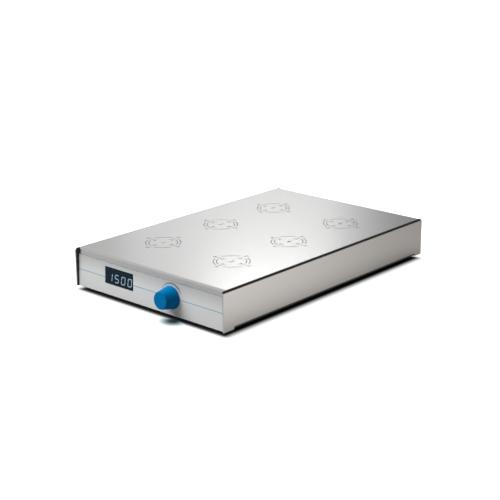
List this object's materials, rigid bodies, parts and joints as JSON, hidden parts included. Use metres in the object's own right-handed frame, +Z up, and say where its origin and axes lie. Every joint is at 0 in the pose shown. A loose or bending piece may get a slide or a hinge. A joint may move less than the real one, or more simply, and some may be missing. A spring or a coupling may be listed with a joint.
{
  "type": "multi-position magnetic stirrer",
  "caption": "Low steel-cased laboratory magnetic stirrer: flat top with marked stirring places, belt-driven magnet rotors below, digital speed display and a large speed knob.",
  "frame": {"origin": "on the bench, under the middle of the case", "axes": "+X to the right as seen from the front, +Y to the back, +Z up"},
  "size_m": [0.22, 0.354, 0.048],
  "materials": {
    "stainless_sheet": "satin",
    "label_grey": "matte",
    "window_dark": "gloss",
    "knob_blue": "satin",
    "black_rubber": "matte",
    "tray_grey": "matte",
    "plated_steel": "satin",
    "plain_aluminium": "satin",
    "natural_nylon": "matte",
    "bearing_bronze": "satin",
    "magnet_nickel": "polished",
    "motor_black": "satin",
    "board_green": "satin",
    "black_plastic": "satin",
    "lead_insulation": "satin"
  },
  "bodies": {
    "case": {"cover": "stainless_sheet", "side_panel_left": "stainless_sheet", "side_panel_right": "stainless_sheet", "front_label": "label_grey", "display_window": "window_dark", "side_gasket_left": "black_rubber", "side_gasket_right": "black_rubber", "feet": "black_rubber", "belt_motor_left": "black_rubber", "belt_motor_right": "black_rubber", "belt_front_left": "black_rubber", "belt_back_left": "black_rubber", "belt_front_right": "black_rubber", "belt_back_right": "black_rubber", "base_tray": "tray_grey", "foot_screws": "plated_steel", "cover_pillars": "plated_steel", "potentiometer_nut": "plated_steel", "plate_screws": "plated_steel", "axle_pins": "plated_steel", "retaining_clips": "plated_steel", "motor_screws": "plated_steel", "inlet_screws": "plated_steel", "bearing_plate": "plain_aluminium", "plate_standoffs": "plain_aluminium", "board_spacers": "natural_nylon", "inlet_pins": "bearing_bronze", "motor_housing": "motor_black", "display_board": "board_green", "power_board": "board_green", "display_module": "black_plastic", "speed_potentiometer": "black_plastic", "power_inlet": "black_plastic", "switch_housing": "black_plastic", "board_components": "black_plastic", "wiring": "lead_insulation"},
    "knob": {"speed_knob": "knob_blue", "potentiometer_shaft": "plated_steel"},
    "rocker": {"switch_rocker": "black_plastic"},
    "motor_spindle": {"motor_shaft": "plated_steel", "motor_pulley": "plain_aluminium"},
    "station_front_left": {"rotor_front_left": "natural_nylon", "bush_front_left": "bearing_bronze", "magnets_front_left": "magnet_nickel"},
    "station_middle_left": {"rotor_middle_left": "natural_nylon", "bush_middle_left": "bearing_bronze", "magnets_middle_left": "magnet_nickel"},
    "station_back_left": {"rotor_back_left": "natural_nylon", "bush_back_left": "bearing_bronze", "magnets_back_left": "magnet_nickel"},
    "station_front_right": {"rotor_front_right": "natural_nylon", "bush_front_right": "bearing_bronze", "magnets_front_right": "magnet_nickel"},
    "station_middle_right": {"rotor_middle_right": "natural_nylon", "bush_middle_right": "bearing_bronze", "magnets_middle_right": "magnet_nickel"},
    "station_back_right": {"rotor_back_right": "natural_nylon", "bush_back_right": "bearing_bronze", "magnets_back_right": "magnet_nickel"}
  },
  "joints": [
    {"name": "knob_turn", "type": "hinge", "parent": "case", "child": "knob", "pos_m": [0.035, -0.167, 0.02418], "axis": [0, -0.9991, 0.0419], "range_deg": [0, 300]},
    {"name": "switch_tilt", "type": "hinge", "parent": "case", "child": "rocker", "pos_m": [-0.012, 0.1674, 0.025], "axis": [1, 0, 0], "range_deg": [0, 18]},
    {"name": "motor_spin", "type": "hinge", "parent": "case", "child": "motor_spindle", "pos_m": [0, -0.0015, 0.0285], "axis": [0, 0, 1], "continuous": true},
    {"name": "front_left_spin", "type": "hinge", "parent": "case", "child": "station_front_left", "pos_m": [-0.051, -0.0939, 0.0285], "axis": [0, 0, 1], "continuous": true},
    {"name": "middle_left_spin", "type": "hinge", "parent": "case", "child": "station_middle_left", "pos_m": [-0.051, -0.0015, 0.0285], "axis": [0, 0, 1], "continuous": true},
    {"name": "back_left_spin", "type": "hinge", "parent": "case", "child": "station_back_left", "pos_m": [-0.051, 0.0909, 0.0285], "axis": [0, 0, 1], "continuous": true},
    {"name": "front_right_spin", "type": "hinge", "parent": "case", "child": "station_front_right", "pos_m": [0.051, -0.0939, 0.0285], "axis": [0, 0, 1], "continuous": true},
    {"name": "middle_right_spin", "type": "hinge", "parent": "case", "child": "station_middle_right", "pos_m": [0.051, -0.0015, 0.0285], "axis": [0, 0, 1], "continuous": true},
    {"name": "back_right_spin", "type": "hinge", "parent": "case", "child": "station_back_right", "pos_m": [0.051, 0.0909, 0.0285], "axis": [0, 0, 1], "continuous": true}
  ],
  "couplings": [
    {"joint": "front_left_spin", "follows": "motor_spin", "ratio": 0.64706},
    {"joint": "middle_left_spin", "follows": "motor_spin", "ratio": 0.64706},
    {"joint": "back_left_spin", "follows": "motor_spin", "ratio": 0.64706},
    {"joint": "front_right_spin", "follows": "motor_spin", "ratio": 0.64706},
    {"joint": "middle_right_spin", "follows": "motor_spin", "ratio": 0.64706},
    {"joint": "back_right_spin", "follows": "motor_spin", "ratio": 0.64706}
  ]
}
